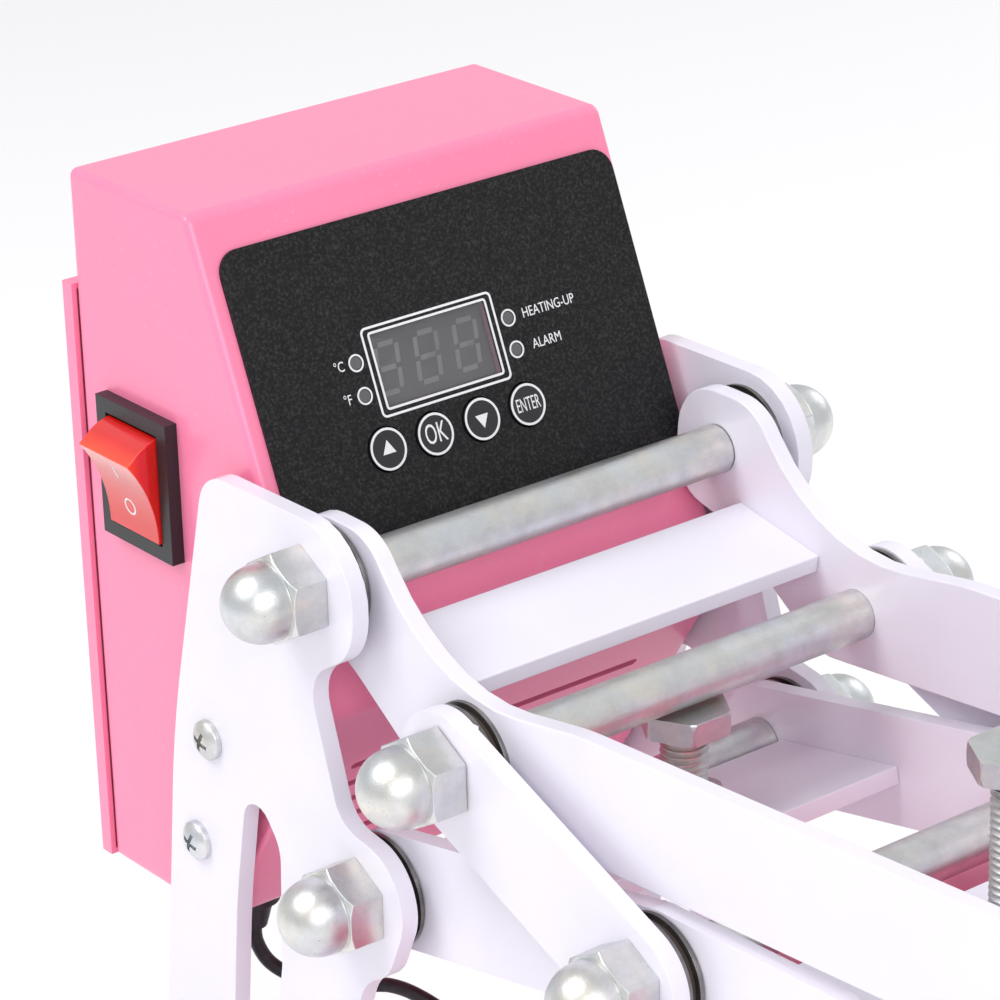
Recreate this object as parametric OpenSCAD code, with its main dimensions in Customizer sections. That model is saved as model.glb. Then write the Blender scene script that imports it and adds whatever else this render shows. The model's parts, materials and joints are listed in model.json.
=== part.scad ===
// Mug heat press: a control box between two side plates, a toggle linkage that carries the
// upper heater jaw, and a base with the lower jaw. X is to the right, Y to the back, Z up.
// Every piece is drawn from the control box's rear lower edge, then stood on the table.

/* [Control box] */
// Width of the control box
box_w = 107; // [100:1:112]
// Height of the control box
box_h = 158.5; // [150:0.5:165]
// Depth of the control box at the top
box_top_d = 42.8; // [38:0.1:48]
// Distance from the back to the fold between the sloping faces
fold_d = 82.7; // [78:0.1:86]
// Height of the fold between the sloping faces
fold_h = 61.9; // [58:0.1:66]
// Depth of the control box at the bottom
box_bottom_d = 42.4; // [38:0.1:46]
// Thickness of the sheet steel
sheet = 1.2; // [0.8:0.1:1.5]

/* [Linkage] */
// Thickness of the side plates, arms and links
plate_t = 4; // [3:0.1:4]
// Distance from the middle to the arms' inner faces
arm_in = 48; // [46:0.1:48]
// Radius of the cross rods between the arms
rod_r = 5.3; // [5.2:0.1:6]
// Radius of the rods' turned ends
journal_r = 5; // [4.5:0.1:5]
// Radius of the thrust bearings
bearing_r = 12; // [10:0.1:12]
// Half the width of the links and the pressure arms
strap_r = 12.3; // [11:0.1:12.5]

/* [Heater jaws] */
// Diameter of the mug that the jaws hold
mug_d = 82; // [76:1:84]
// Length of the jaws along the mug
jaw_l = 92; // [80:1:92]
// Thickness of the heating mat and of the pressure pad
mat_t = 3; // [2:0.5:4]
// Height of the slot that the mug's handle stands in
handle_slot = 20; // [16:1:24]

/* [Base] */
// Height of the control box's bottom above the table
stand_h = 112; // [108:1:116]
// Height of the rubber feet
foot_h = 8; // [6:1:10]
// Thickness of the base plate
base_t = 3; // [2:0.5:4]
// Radius of the hand grip
grip_r = 13; // [11:0.5:14]

/* [Hidden] */

gap = 0.3;              // air between faces that move past each other
fit = 0.05;             // radial clearance of a running fit
pink = "#FF8FB5";
white = "#F3EFF8";
zinc = "#C3C8C9";
dark = "#26262A";

// Pivots, as distances along Y and Z
upper_pivot = [-86.5, 94.2];    // handle arms on the side plates
link_pivot = [-129.3, 70.5];    // links on the handle arms
lower_pivot = [-100.3, 30.9];   // pressure arms on the side plates
carrier_pivot = [-184.6, 47.8]; // links on the pressure arms

arm_out = arm_in + plate_t;
side_in = arm_out + 4;
side_out = side_in + plate_t;
box_side = box_w / 2;
front_tilt = atan2(box_h - fold_h, fold_d - box_top_d);
lower_tilt = 180 - atan2(fold_h, fold_d - box_bottom_d);

// Jaws: a circle round the mug, seen from the side
jaw_axis = [-218, -26];
mug_r = mug_d / 2 + 1;
jaw_half = 52;
jaw_top = 39.5;
jaw_split = 2.5;
base_top = -92;
handle_axis = [-318, 86];
arm_front = handle_axis.x - 14;
cover_d = 3.5;
inlet_rim = 2.2;
stand_y = -(arm_front + cover_d + inlet_rim) / 2;

// The heater lead, from the gland under the box to the gland on the lower jaw
lead_r = 1.6;
lead_route = [
    [-40.5, -34, -9], [-40.5, -34.5, -13], [-39, -36.5, -17.5], [-36, -40, -20.5],
    [-32, -45.5, -22], [-27.5, -52, -21.5], [-23, -59, -20], [-20.5, -68, -20.5],
    [-17, -79, -25], [-12, -92, -34], [-7, -106, -43.5], [-3, -120, -51], [-1, -133, -56],
    [0, -143, -58], [0, -152, -58]];

// Vector helpers and outlines with rounded corners; each point is [along Y, along Z, radius]
function unit(v) = v / norm(v);
function corner(a, p, b, r, n = 7) =
    let (u = unit(a - p), w = unit(b - p), half = acos(u * w) / 2,
         c = p + unit(u + w) * r / sin(half), s = p + u * r / tan(half) - c,
         e = p + w * r / tan(half) - c, from = atan2(s.y, s.x),
         turn = (atan2(e.y, e.x) - from + 540) % 360 - 180)
    [for (k = [0:n]) c + r * [cos(from + turn * k / n), sin(from + turn * k / n)]];
function flat(p) = [p.x, p.y];
function outline(pts) = let (n = len(pts)) [for (i = [0:n - 1])
    each pts[i].z == 0 ? [flat(pts[i])] :
    corner(flat(pts[(i + n - 1) % n]), flat(pts[i]), flat(pts[(i + 1) % n]), pts[i].z)];
function inset(pts, d) = let (n = len(pts)) [for (i = [0:n - 1])
    let (u = unit(pts[(i + n - 1) % n] - pts[i]), w = unit(pts[(i + 1) % n] - pts[i]))
    pts[i] + (u + w) * d / abs(cross(u, w))];

module stand() translate([0, stand_y, stand_h]) children();
// An outline in Y and Z, given a thickness along X
module slab(x, t) translate([x, 0, 0]) rotate([90, 0, 90]) linear_extrude(t) children();
module at(p) translate([p.x, p.y]) children();
// A drill along X, through everything between two distances
module drill(p, r, x0 = -100, x1 = 100) translate([x0, p.x, p.y]) rotate([0, 90, 0])
    cylinder(r = r, h = x1 - x0, $fn = 48);
// A place on the sloping front face: across, down from the top edge; Z points out of it
module on_front(x, v, out = 0) translate([0, -box_top_d, box_h]) rotate([front_tilt, 0, 0])
    translate([x, -v, out]) children();
// A place on the face below the fold
module on_lower(x, v, out = 0) translate([0, -fold_d, fold_h]) rotate([lower_tilt, 0, 0])
    translate([x, -v, out]) children();
module rounded_rect(w, h, r) polygon(outline([[-w / 2, -h / 2, r], [w / 2, -h / 2, r],
    [w / 2, h / 2, r], [-w / 2, h / 2, r]]));
// Straight strap between two pivots
module strap(p, q, r) {
    side = unit([p.y - q.y, q.x - p.x]) * (r - 0.03);
    for (c = [p, q]) at(c) circle(r = r, $fn = 64);
    polygon([p + side, q + side, q - side, p - side]);
}

/* Control box */

box_profile = [[0, 0], [0, box_h], [-box_top_d, box_h], [-fold_d, fold_h], [-box_bottom_d, 0]];
panel_w = 101.4;
panel_h = 69;
panel_x = 1.25;
panel_v = 8.8 + panel_h / 2;
panel_t = 0.8;
window_w = 29.7;
window_h = 15.5;
window_x = -4.45;
window_v = 40.55;
button_v = 56.2;
button_x0 = -22.3;
button_pitch = 12.13;
button_r = 4.5;
lamp_places = [[-24.1, 37.6], [-24.1, 44.5], [15.3, 37.8], [15.3, 44.6]];
switch_y = -22.6;
switch_z = 96.65;
opening_w = 92;
opening_z = [8, 126];
cover_h = 133;
inlet_z = 26;

module button_places(size) for (i = [0:3])
    on_front(button_x0 + i * button_pitch, button_v, -6) cylinder(r = size, h = 12, $fn = 40);

module control_box_shell() color(pink) stand() difference() {
    slab(-box_side, box_w) polygon(box_profile);
    slab(-box_side + sheet, box_w - 2 * sheet) polygon(inset(box_profile, sheet));
    // service opening behind the back cover
    translate([-opening_w / 2, -3, opening_z[0]])
        cube([opening_w, 6, opening_z[1] - opening_z[0]]);
    // display, lamps and buttons
    on_front(window_x, window_v, -3) translate([-window_w / 2, -window_h / 2, 0])
        cube([window_w, window_h, 6]);
    button_places(button_r + 0.4);
    for (p = lamp_places) on_front(p.x, p.y, -3) cylinder(r = 1.5, h = 6, $fn = 24);
    // switch cut-out in the left side
    translate([-box_side - 1, switch_y - 11, switch_z - 13.7]) cube([4, 22, 27.4]);
    // vent slots in the lower face
    for (i = [0:4]) on_lower(0.3, 24 + 7.2 * i, -3) linear_extrude(6) rounded_rect(77, 2.2, 1.09);
    // screw holes for the side plates
    for (p = side_screw_places) drill(p, 2.1);
    cover_screw_places() rotate([90, 0, 0]) cylinder(r = 1.7, h = 12, center = true, $fn = 24);
    // cable hole
    translate([lead_route[0].x, lead_route[0].y, -3]) cylinder(r = 4, h = 6, $fn = 32);
}

module back_cover() color(pink) stand() difference() {
    translate([-box_side - 0.8, 0, -0.5]) cube([box_w + 1.6, cover_d, cover_h + 0.5]);
    translate([-box_side + 0.4, -1, 0.7]) cube([box_w - 0.8, cover_d - sheet + 1, cover_h - 2]);
    for (i = [0:6], side = [-1, 1]) translate([side * 23, 10, 70 + 7 * i]) rotate([90, 0, 0])
        linear_extrude(12) rounded_rect(36, 2.4, 1.19);
    translate([-14.2, -2, inlet_z - 10.2]) cube([28.4, 12, 20.4]);
    cover_screw_places() rotate([90, 0, 0]) cylinder(r = 1.7, h = 12, center = true, $fn = 24);
}

module cover_screw_places() for (x = [-49.5, 49.5], z = [4.2, 129])
    translate([x, cover_d, z]) children();

module back_cover_screws() color(zinc) stand() cover_screw_places() rotate([90, 0, 0]) {
    difference() {
        translate([0, 0, -1.9]) cylinder(r = 3, h = 1.9, $fn = 32);
        translate([0, 0, -2.8]) cross_recess(3.4, 2);
    }
    cylinder(r = 1.5, h = 6, $fn = 24);
}

module power_inlet() color(dark) stand() difference() {
    union() {
        translate([-18, cover_d, inlet_z - 13]) cube([36, inlet_rim, 26]);
        translate([-13.8, -18, inlet_z - 10]) cube([27.6, 18 + cover_d, 20]);
    }
    translate([-11, -14, inlet_z - 7]) cube([22, 30, 14]);
}

module front_panel() color(dark) stand() difference() {
    on_front(panel_x, panel_v) linear_extrude(panel_t) rounded_rect(panel_w, panel_h, 5);
    on_front(window_x, window_v, -1) translate([-window_w / 2, -window_h / 2, 0])
        cube([window_w, window_h, 3]);
    button_places(button_r + 0.3);
    for (p = lamp_places) on_front(p.x, p.y, -1) cylinder(r = 1.5, h = 3, $fn = 24);
}

module display_window() color([0.35, 0.35, 0.38, 0.6]) stand()
    on_front(window_x, window_v, -1.2) translate([-window_w / 2 + 0.1, -window_h / 2 + 0.1, 0])
        cube([window_w - 0.2, window_h - 0.2, 1.7]);

module display_digits() color("#B9B9C2") stand() on_front(window_x, window_v, -8.4) {
    translate([-14.5, -7.3, 0]) cube([29, 14.6, 7]);
    for (i = [-1:1]) translate([i * 10.16 - 0.75, 0, 6.9]) digit();
}
// One seven-segment figure, slanted a little
module digit() linear_extrude(0.2) multmatrix([[1, 0.15, 0, 0], [0, 1, 0, 0]]) {
    for (y = [-5, 0, 5]) translate([-1.9, y - 0.55]) square([3.8, 1.1]);
    for (x = [-2.7, 2.7], y = [-2.5, 2.5]) translate([x - 0.55, y - 2]) square([1.1, 4]);
}

module indicator_lamps() color("#8E8E96") stand() for (p = lamp_places)
    on_front(p.x, p.y, -7) cylinder(r = 1.4, h = 7 + panel_t, $fn = 24);

module control_board() color("#2C7A46") stand() {
    on_front(0, 46, -10.4) translate([-46, -31, 0]) cube([92, 62, 1.6]);
    for (x = [-42, 42], v = [19, 73]) on_front(x, v, -8.8)
        cylinder(r = 3, h = 8.8 - sheet, $fn = 24);
}

module relay_module() color("#303036") stand() {
    translate([15, -34, 4]) cube([28, 26, 24]);
    translate([-29, -34, 4]) cube([14, 22, 16]);
    translate([-32, -38, sheet]) cube([78, 34, 4 - sheet]);
}

// Round push button in the panel; it stands a little proud
module button(i) color("#1B1B1F") stand() on_front(button_x0 + i * button_pitch, button_v, -6) {
    cylinder(r = button_r, h = 6 + panel_t + 0.5, $fn = 48);
    translate([0, 0, -1]) cylinder(r = 1.6, h = 1, $fn = 24);
}
module up_button() button(0);
module ok_button() button(1);
module down_button() button(2);
module enter_button() button(3);

rim_out = 3;
module switch_bezel() color("#141416") stand() difference() {
    union() {
        translate([-box_side - rim_out, switch_y - 12.7, switch_z - 15.5]) cube([rim_out, 25.4, 31]);
        translate([-box_side - 0.01, switch_y - 10.8, switch_z - 13.5]) cube([14, 21.6, 27]);
    }
    translate([-box_side - rim_out - 1, switch_y - 9.3, switch_z - 12.3]) cube([14, 18.6, 24.6]);
    rocker_pin(pin_r + fit, 20.4);
}

// Rocker, seen from behind halfway over: out from its pivot and up; its face is scooped between
// two tips and its ends are rounded about the pivot
rocker_pivot = -box_side - 0.5;
rocker_angle = 19;
tip = [6.8, 10.1];
scoop = 1.7;
end_r = 11.8;
pin_r = 1.5;
rocker_profile = [
    for (k = [8:-1:-8]) [tip.x - scoop * (1 - k * k / 64), tip.y * k / 8],
    for (a = [64:6:100]) end_r * [cos(a), -sin(a)],
    for (a = [100:-6:64]) end_r * [cos(a), sin(a)]];
module rocker_pin(r, length) translate([rocker_pivot, switch_y, switch_z]) rotate([90, 0, 0])
    cylinder(r = r, h = length, center = true, $fn = 32);
module switch_rocker() color("#E3262B") stand() {
    translate([rocker_pivot, switch_y, switch_z]) rotate([0, -rocker_angle, 0])
        rotate([90, 0, 0]) translate([0, 0, -9]) linear_extrude(18)
            polygon([for (p = rocker_profile) [-p.x, p.y]]);
    rocker_pin(pin_r, 19.8);
}

/* Side plates and their fastenings */

side_points = [
    [-53.5, 109, 9], [-37, 46, 260], [-20, -86, 12], [-8, -95, 5], [-8, -104, 2],
    [-128, -104, 2], [-128, -95, 5], [-90, -84, 16], [-84, -34, 40], [-101.5, 13, 12],
    [-109.5, 17.2, 11], [-115.6, 31, 12], [-112.5, 43.5, 12], [-95.5, 46, 8], [-86.5, 75.5, 9],
    [-101.8, 84.5, 13], [-105, 109.8, 15.5]];
side_window = [
    [-63.6, 46, 5], [-74, 32, 9], [-72.5, 5, 30], [-60, -60, 12], [-47, -72, 4.8], [-57, 13, 200]];
side_screw_places = [[-50.5, 48.3], [-44.3, 22.6]];
base_screw_places = [[-24, -98.5], [-112, -98.5]];

module side_plate(x) color(white) stand() difference() {
    slab(x, plate_t) difference() {
        polygon(outline(side_points));
        polygon(outline(side_window));
    }
    for (p = [upper_pivot, lower_pivot]) drill(p, journal_r + fit);
    for (p = side_screw_places) drill(p, 2.1);
    for (p = base_screw_places) drill(p, 3.1);
}
module side_plate_left() side_plate(-side_out);
module side_plate_right() side_plate(side_in);

module side_screws() color(zinc) stand() for (p = side_screw_places, m = [0, 1])
    mirror([m, 0, 0]) {
        drill(p, 2, box_side - 5, side_out);
        translate([side_out, p.x, p.y]) rotate([0, 90, 0]) difference() {
            intersection() {
                cylinder(r = 4.3, h = 2.9, $fn = 48);
                translate([0, 0, -3.2]) sphere(r = 6.1, $fn = 64);
            }
            translate([0, 0, 1.2]) cross_recess(4.4, 2);
        }
    }
// Cross-shaped recess for a screwdriver
module cross_recess(w, h) for (a = [20, 110]) rotate([0, 0, a]) translate([-w / 2, -0.5, 0])
    cube([w, 1, h]);

module side_spacers() color("#DDDCE2") stand() difference() {
    for (p = side_screw_places, m = [0, 1]) mirror([m, 0, 0]) drill(p, 6, box_side, side_in);
    for (p = side_screw_places) drill(p, 2.1);
}

/* Pivots: rods, cap nuts and thrust bearings */

// Rod between the arms with turned, threaded ends
module cross_rod(p, shoulder, end) {
    drill(p, rod_r, -shoulder, shoulder);
    drill(p, journal_r, -end, -shoulder);
    drill(p, journal_r, shoulder, end);
}
nut_af = 17;
nut_h = 8;
dome_r = 8;
// Cap nut standing on a face at distance x from the middle
module cap_nut(x, p) for (m = [0, 1]) mirror([m, 0, 0]) translate([x, p.x, p.y])
    rotate([0, 90, 0]) difference() {
        union() {
            intersection() {
                cylinder(r = nut_af / sqrt(3), h = nut_h, $fn = 6);
                translate([0, 0, nut_h - 14.2]) sphere(r = 16.6, $fn = 72);
            }
            cylinder(r = dome_r, h = 10, $fn = 64);
            translate([0, 0, 10]) sphere(r = dome_r, $fn = 64);
        }
        translate([0, 0, -1]) cylinder(r = journal_r + fit, h = 13, $fn = 48);
    }
nut_thread = 10;
race_t = 1;
// Two hardened rings of a thrust bearing, between two distances from the middle
module races(p, x0, x1) for (m = [0, 1]) mirror([m, 0, 0]) difference() {
    union() {
        drill(p, bearing_r, x0, x0 + race_t);
        drill(p, bearing_r, x1 - race_t, x1);
    }
    drill(p, journal_r + 0.1, 0, 100);
}
module cages(p, x0, x1) for (m = [0, 1]) mirror([m, 0, 0]) difference() {
    drill(p, bearing_r - 1.2, x0 + race_t, x1 - race_t);
    drill(p, journal_r + 0.1, 0, 100);
}

module upper_pivot_rod() color(zinc) stand()
    cross_rod(upper_pivot, arm_in - gap, side_out + nut_thread);
module lower_pivot_rod() color(zinc) stand()
    cross_rod(lower_pivot, arm_in - gap, side_out + nut_thread);
module pivot_cap_nuts() color(zinc) stand() {
    cap_nut(side_out, upper_pivot);
    cap_nut(side_out, lower_pivot);
}
module pivot_races() color("#8B8A86") stand()
    for (p = [upper_pivot, lower_pivot]) races(p, arm_out + gap, side_in);
module pivot_cages() color("#3A3430") stand()
    for (p = [upper_pivot, lower_pivot]) cages(p, arm_out + gap, side_in);
module link_rod() color(zinc) stand() cross_rod(link_pivot, arm_in, side_out + nut_thread);
module link_rod_cap_nuts() color(zinc) stand() cap_nut(side_out + gap, link_pivot);
module link_rod_races() color("#8B8A86") stand() races(link_pivot, arm_out, side_in - gap);
module link_rod_cages() color("#3A3430") stand() cages(link_pivot, arm_out, side_in - gap);
module carrier_rod() color(zinc) stand() cross_rod(carrier_pivot, arm_in, arm_out);
module link_end_studs() color(zinc) stand() for (m = [0, 1]) mirror([m, 0, 0])
    drill(carrier_pivot, journal_r, arm_out + gap, side_out + nut_thread);
module link_end_cap_nuts() color(zinc) stand() cap_nut(side_out, carrier_pivot);
module link_end_races() color("#8B8A86") stand() races(carrier_pivot, arm_out + gap, side_in);
module link_end_cages() color("#3A3430") stand() cages(carrier_pivot, arm_out + gap, side_in);

/* Handle arms */

handle_points = [
    [-72, 81.6, 10], [-74.5, 107, 12], [-97.5, 106.8, 12], [-117.3, 79.8, 42], [-160, 87, 80],
    [arm_front, 97.6, 11.5], [arm_front, 72.6, 11.5], [-170, 62.2, 200], [-118, 57.4, 11], [-88.5, 78, 30]];
module handle_arm(x) color(white) stand() difference() {
    slab(x, plate_t) polygon(outline(handle_points));
    for (p = [upper_pivot, link_pivot]) drill(p, journal_r + fit);
    drill(handle_axis, 4.1);
}
module handle_arm_left() handle_arm(-arm_out);
module handle_arm_right() handle_arm(arm_in);

// Flat plate between two arms, given by its rear and front lower edges
module cross_plate(rear, front, t) slab(-arm_in, 2 * arm_in) polygon([rear, front,
    front + unit([rear.y - front.y, front.x - rear.x]) * -t,
    rear + unit([rear.y - front.y, front.x - rear.x]) * -t]);
module handle_cross_plate() color(white) stand()
    cross_plate([-92.9, 80.3], [-117.2, 75.9], 4);

module handle_bar() color(zinc) stand() difference() {
    drill(handle_axis, 8, -arm_in, arm_in);
    for (m = [0, 1]) mirror([m, 0, 0]) drill(handle_axis, 4.05, arm_in - 20, arm_in + 1);
}
module handle_grip() color("#1E1E22") stand() difference() {
    drill(handle_axis, grip_r, -arm_in + 2, arm_in - 2);
    for (i = [-8:8]) translate([i * 5, handle_axis.x, handle_axis.y]) rotate([0, 90, 0])
        rotate_extrude($fn = 64) translate([grip_r + 0.5, 0]) circle(r = 1.3, $fn = 24);
    drill(handle_axis, 8);
}
module handle_screws() color(zinc) stand() for (m = [0, 1]) mirror([m, 0, 0]) {
    drill(handle_axis, 4, arm_in - 18, arm_out);
    translate([arm_out, handle_axis.x, handle_axis.y]) rotate([0, 90, 0]) difference() {
        intersection() {
            cylinder(r = 7, h = 4.4, $fn = 48);
            translate([0, 0, -4.6]) sphere(r = 9, $fn = 64);
        }
        translate([0, 0, 1.6]) cylinder(r = 2.9, h = 4, $fn = 6);
    }
}

/* Links */

module toggle_link(x) color(white) stand() difference() {
    slab(x, plate_t) strap(link_pivot, carrier_pivot, strap_r);
    for (p = [link_pivot, carrier_pivot]) drill(p, journal_r + fit);
}
module toggle_link_left() toggle_link(-side_out);
module toggle_link_right() toggle_link(side_in);

/* Pressure arms */

arm_nose = [[-170, 50, 0], [-173, 57.5, 0], [-184, 60, 0], [-236, 62.4, 8], [-242, 38, 10],
    [-185.5, 35.7, 0]];
module pressure_arm(x) color(white) stand() difference() {
    slab(x, plate_t) {
        strap(lower_pivot, carrier_pivot, strap_r);
        polygon(outline(arm_nose));
    }
    for (p = [lower_pivot, carrier_pivot]) drill(p, journal_r + fit);
}
module pressure_arm_left() pressure_arm(-arm_out);
module pressure_arm_right() pressure_arm(arm_in);

bolt_x = 2;
stop_y = -128.5;
stop_lean = 2;
bolt_r = 5;
bolt_af = 17;
bolt_head = 5;
bolt_y = -221;
jaw_plate_z = [43.5, 47.5];
stop_plate = [[-107.5, 29.6], [-142.6, 36.6]];

module stop_axis(h = 0) translate([bolt_x, stop_y, 64.6]) rotate([stop_lean, 0, 0])
    translate([0, 0, h]) children();
module pressure_cross_plate() color(white) stand() difference() {
    cross_plate(stop_plate[0], stop_plate[1], 4);
    stop_axis(-45) cylinder(r = bolt_r + fit, h = 40, $fn = 40);
}
module jaw_cross_plate() color(white) stand() difference() {
    translate([-arm_in, -236, jaw_plate_z[0]])
        cube([2 * arm_in, 37.5, jaw_plate_z[1] - jaw_plate_z[0]]);
    translate([bolt_x, bolt_y, 30]) cylinder(r = bolt_r + 0.15, h = 30, $fn = 40);
}

// Hexagon with chamfered corners, as on a bolt head or nut
module hexagon(af, h) intersection() {
    cylinder(r = af / sqrt(3), h = h, $fn = 6);
    translate([0, 0, h / 2 - 0.1]) sphere(r = sqrt(af * af / 3 + h * h / 4) - 0.45, $fn = 64);
}
// Bolt hanging from its head; the origin is the top of the head
module hex_bolt(length) {
    translate([0, 0, -bolt_head]) hexagon(bolt_af, bolt_head);
    translate([0, 0, -bolt_head - length]) cylinder(r = bolt_r, h = length, $fn = 40);
}
module stop_bolt() color(zinc) stand() stop_axis() hex_bolt(33);
module lock_nuts() color(zinc) stand() {
    difference() {
        stop_axis(-24.3) hexagon(bolt_af, 4);
        stop_axis(-45) cylinder(r = bolt_r + fit, h = 40, $fn = 40);
    }
    difference() {
        translate([bolt_x, bolt_y, jaw_plate_z[1]]) hexagon(bolt_af, 5);
        translate([bolt_x, bolt_y, 30]) cylinder(r = bolt_r + 0.15, h = 30, $fn = 40);
    }
}

/* Heater jaws */

cover_wall = 1.5;
// Side outline of a jaw's cover, stepped back in front for the mug's handle; side is 1 for the
// upper jaw and -1 for the lower
function jaw_outline(side, far) = let (y0 = jaw_axis.x - jaw_half, y1 = jaw_axis.x + jaw_half,
    near = jaw_axis.y + side * jaw_split, step = jaw_axis.y + side * handle_slot / 2,
    loop = [[y1, near], [y1, far], [y0, far], [y0, step], [jaw_axis.x - 20, step],
        [jaw_axis.x - 20, near]])
    side > 0 ? loop : [for (i = [5:-1:0]) loop[i]];
module jaw_cover(side, far) difference() {
    slab(-jaw_l / 2, jaw_l) polygon(jaw_outline(side, far));
    slab(-jaw_l / 2 + cover_wall, jaw_l - 2 * cover_wall)
        polygon(inset(jaw_outline(side, far), cover_wall));
    drill(jaw_axis, seat_r);
}
// Part of a ring round the mug between two angles, seen from the side
module ring(r0, r1, from, to) at(jaw_axis) intersection() {
    difference() {
        circle(r = r1, $fn = 96);
        circle(r = r0, $fn = 96);
    }
    polygon([[0, 0], for (k = [0:4]) 2 * r1 * [cos(from + (to - from) * k / 4),
        sin(from + (to - from) * k / 4)]]);
}
seat_r = mug_r + mat_t;
slot_angle = asin(handle_slot / 2 / mug_r) + 2;

module upper_jaw_cover() color(pink) stand() difference() {
    jaw_cover(1, jaw_top);
    translate([bolt_x, bolt_y, 30]) cylinder(r = bolt_r + 0.15, h = 20, $fn = 40);
}
module upper_jaw_block() color("#9A9CA2") stand() difference() {
    union() {
        slab(-jaw_l / 2 + 2, jaw_l - 4) ring(seat_r, seat_r + 1.5, 6, 180 - slot_angle);
        translate([bolt_x - 14, bolt_y - 14, jaw_axis.y + seat_r + 0.6])
            cube([28, 28, jaw_top - cover_wall - jaw_axis.y - seat_r - 0.6]);
    }
    translate([bolt_x, bolt_y, 0]) cylinder(r = bolt_r + fit, h = 50, $fn = 40);
}
module pressure_pad() color("#B5483A") stand() slab(-jaw_l / 2 + 1, jaw_l - 2)
    ring(mug_r, seat_r, 6, 180 - slot_angle);
module pressure_bolt() color(zinc) stand() translate([bolt_x, bolt_y, 89.6]) hex_bolt(61.3);

module lower_jaw_cover() color(pink) stand() difference() {
    jaw_cover(-1, base_top);
    translate([0, jaw_axis.x + jaw_half, lead_route[14].z]) rotate([90, 0, 0])
        cylinder(r = 4, h = 10, center = true, $fn = 32);
}
module heating_mat() color("#C2543F") stand() slab(-jaw_l / 2 + 1, jaw_l - 2)
    ring(mug_r, seat_r, 180 + slot_angle, 354);

/* Base */

base_y = [-10, -282];
module base_plate() color(white) stand() difference() {
    translate([-side_in, base_y[1], -104])
        cube([2 * side_in, base_y[0] - base_y[1], base_top + 104]);
    translate([-side_in + base_t, base_y[1] + base_t, -105])
        cube([2 * side_in - 2 * base_t, base_y[0] - base_y[1] - 2 * base_t, base_top + 105 - base_t]);
    for (p = base_screw_places) drill(p, 3.1);
    feet_places() cylinder(r = 2.6, h = 20, $fn = 24);
}
module base_screws() color(zinc) stand() for (p = base_screw_places, m = [0, 1])
    mirror([m, 0, 0]) {
        drill(p, 3, side_in - 8, side_out);
        translate([side_out, p.x, p.y]) rotate([0, 90, 0]) hexagon(10, 4);
    }
foot_r = 10;
under_plate = stand_h + base_top - base_t;
module feet_places() for (x = [-40, 40], y = [base_y[0] - 18, base_y[1] + 18])
    translate([x, y, -stand_h]) children();
module rubber_feet() color("#202024") stand() feet_places() {
    cylinder(r1 = foot_r - 1.5, r2 = foot_r, h = foot_h + 2, $fn = 48);
    translate([0, 0, foot_h + 2]) cylinder(r = 5, h = under_plate - foot_h - 2, $fn = 32);
    translate([0, 0, under_plate]) cylinder(r = 2.5, h = base_t - 0.2, $fn = 24);
}

/* Heater lead */

module lead_glands() color(dark) stand() {
    start = lead_route[0];
    finish = lead_route[14];
    difference() {
        union() {
            translate([start.x, start.y, -2.5]) cylinder(r = 6, h = 2.5, $fn = 40);
            translate([start.x, start.y, -9]) cylinder(r1 = 2.8, r2 = 4.6, h = 6.6, $fn = 40);
            translate([start.x, start.y, -2.5]) cylinder(r = 3.95, h = 5, $fn = 40);
        }
        translate([start.x, start.y, -10]) cylinder(r = lead_r, h = 14, $fn = 24);
    }
    translate([finish.x, jaw_axis.x + jaw_half, finish.z]) rotate([-90, 0, 0]) difference() {
        union() {
            cylinder(r = 6, h = 2.5, $fn = 40);
            cylinder(r1 = 4.6, r2 = 2.8, h = finish.y - jaw_axis.x - jaw_half, $fn = 40);
            translate([0, 0, -2.5]) cylinder(r = 3.95, h = 4, $fn = 40);
        }
        translate([0, 0, -4]) cylinder(r = lead_r, h = 30, $fn = 24);
    }
}

// Point and direction on a smooth curve through the route, s from 0 to the last point
function curve(route, s) = let (n = len(route) - 1, i = min(floor(s), n - 1), t = s - i,
    a = route[max(i - 1, 0)], b = route[i], c = route[i + 1], d = route[min(i + 2, n)])
    0.5 * (2 * b + (c - a) * t + (2 * a - 5 * b + 4 * c - d) * t * t
        + (3 * b - a - 3 * c + d) * t * t * t);
module tube(route, r, rings, sides) {
    last = len(route) - 1;
    points = [for (k = [0:rings]) let (s = last * k / rings,
        p = curve(route, s),
        ahead = unit(curve(route, min(s + 0.02, last)) - curve(route, max(s - 0.02, 0))),
        across = unit(cross(ahead, [1, 0.3, 0])), up = cross(across, ahead))
        for (j = [0:sides - 1]) p + r * (cos(360 * j / sides) * across + sin(360 * j / sides) * up)];
    faces = [[for (j = [sides - 1:-1:0]) j],
        for (k = [0:rings - 1], j = [0:sides - 1]) let (a = k * sides, e = (j + 1) % sides)
            [a + j, a + e, a + sides + e, a + sides + j],
        [for (j = [0:sides - 1]) rings * sides + j]];
    polyhedron(points, faces);
}
module heater_lead() color(dark) stand() tube(lead_route, lead_r - 0.02, 56, 8);

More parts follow.
